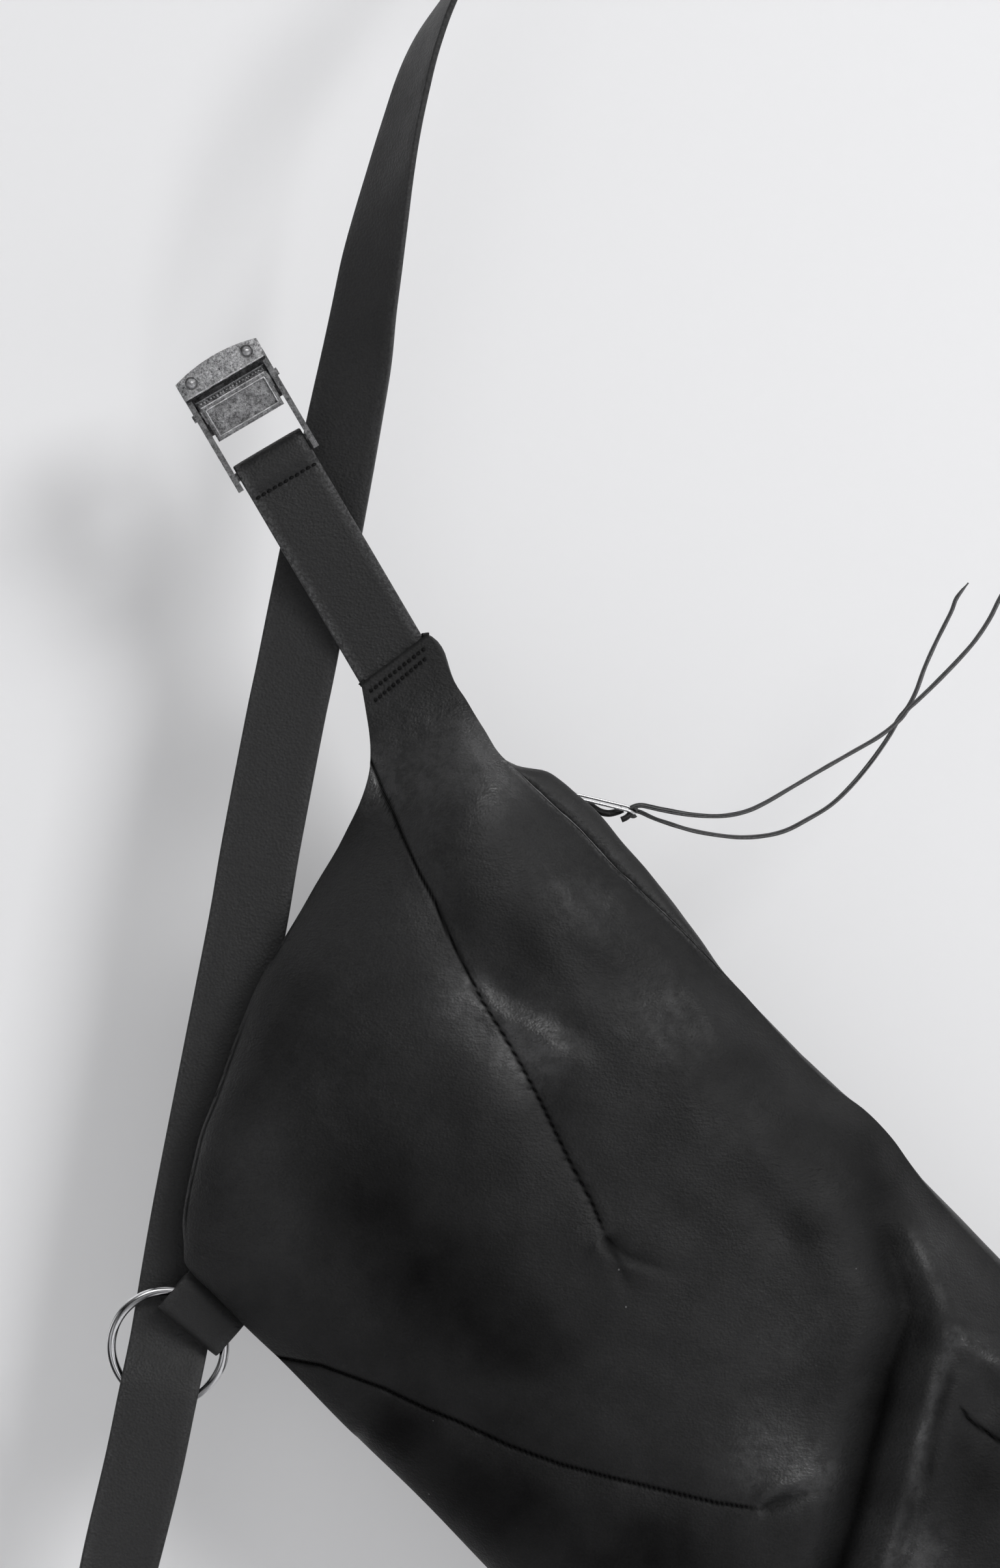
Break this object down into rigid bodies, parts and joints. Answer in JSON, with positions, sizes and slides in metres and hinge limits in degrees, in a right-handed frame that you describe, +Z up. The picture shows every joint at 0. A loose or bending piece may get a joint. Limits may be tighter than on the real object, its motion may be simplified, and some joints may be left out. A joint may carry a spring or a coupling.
{
  "type": "leather sling bag",
  "caption": "Soft leather cross-body sling bag: darted domed front, flat back, top zip with laced puller, neck strap with cam buckle, long strap through an O-ring.",
  "frame": {"origin": "on the flat outer face of the back panel, at the middle of the bag", "axes": "+Z up as the bag hangs in view, the front faces -Y, +Y points out of the back panel"},
  "size_m": [0.4752, 0.0668, 0.9031],
  "materials": {
    "panel_leather": "smooth nappa, soft sheen",
    "strap_leather": "smooth, fine grain",
    "lace_leather": "matt thin cord",
    "lining_cloth": "plain weave",
    "zip_tape": "woven tape",
    "zip_metal": "dark nickel",
    "slider_metal": "dark nickel",
    "puller_metal": "polished nickel",
    "ring_metal": "polished nickel",
    "aged_nickel": "aged, mottled nickel",
    "spring_steel": "satin"
  },
  "bodies": {
    "bag": {"front_panel": "panel_leather", "back_panel": "panel_leather", "lining_front": "lining_cloth", "lining_back": "lining_cloth", "zip_facing": "panel_leather", "zip_tape_front": "zip_tape", "zip_tape_back": "zip_tape", "zip_teeth_front": "zip_metal", "zip_teeth_back": "zip_metal", "zip_top_stop": "zip_metal", "zip_bottom_stop": "zip_metal", "neck_strap_sewn_end": "strap_leather", "ring_tab": "strap_leather", "long_strap_lower": "strap_leather"},
    "strap_upper": {"long_strap_upper": "strap_leather"},
    "ring": {"o_ring": "ring_metal"},
    "neck": {"neck_strap": "strap_leather"},
    "buckle": {"cam_frame": "aged_nickel", "cam_bridge": "aged_nickel", "cam_rivet_left": "aged_nickel", "cam_rivet_right": "aged_nickel", "cam_pivot_pin": "aged_nickel", "cam_spring": "spring_steel", "cam_strap_bar": "aged_nickel"},
    "lever": {"cam_lever": "aged_nickel"},
    "slider": {"zip_slider_body": "slider_metal", "zip_slider_bridge": "slider_metal"},
    "puller": {"zip_puller": "puller_metal"},
    "lace": {"lace_knot": "lace_leather", "lace_tail_a": "lace_leather", "lace_tail_b": "lace_leather"}
  },
  "joints": [
    {"name": "strap_upper_swing", "type": "hinge", "parent": "bag", "child": "strap_upper", "pos_m": [-0.2106, -0.0031, 0.0156], "axis": [-0.9798, 0, 0.2], "range_deg": [0, 45]},
    {"name": "ring_turn", "type": "hinge", "parent": "bag", "child": "ring", "pos_m": [-0.2106, -0.0067, 0.0158], "axis": [-0.033, -0.9863, -0.1617], "continuous": true},
    {"name": "neck_strap_bend", "type": "hinge", "parent": "bag", "child": "neck", "pos_m": [-0.12769, -0.01, 0.28447], "axis": [0.862, 0, 0.507], "range_deg": [0, 45]},
    {"name": "buckle_swing", "type": "hinge", "parent": "neck", "child": "buckle", "pos_m": [-0.17053, -0.015, 0.3573], "axis": [0.862, 0, 0.507], "range_deg": [-15, 45]},
    {"name": "cam_lever_pivot", "type": "hinge", "parent": "buckle", "child": "lever", "pos_m": [-0.18447, -0.016, 0.38101], "axis": [-0.862, 0, -0.507], "range_deg": [0, 95], "stiffness_Nm_per_rad": 0.02},
    {"name": "zip_slide", "type": "slide", "parent": "bag", "child": "slider", "axis": [0.6959, 0, -0.7181], "range_m": [0, 0.34]},
    {"name": "puller_pivot", "type": "hinge", "parent": "slider", "child": "puller", "pos_m": [-0.05731, -0.0115, 0.22812], "axis": [0, 1, 0], "range_deg": [-50, 30]},
    {"name": "lace_swing", "type": "hinge", "parent": "puller", "child": "lace", "pos_m": [-0.03143, -0.0115, 0.22196], "axis": [0, 1, 0], "range_deg": [-20, 5]}
  ]
}
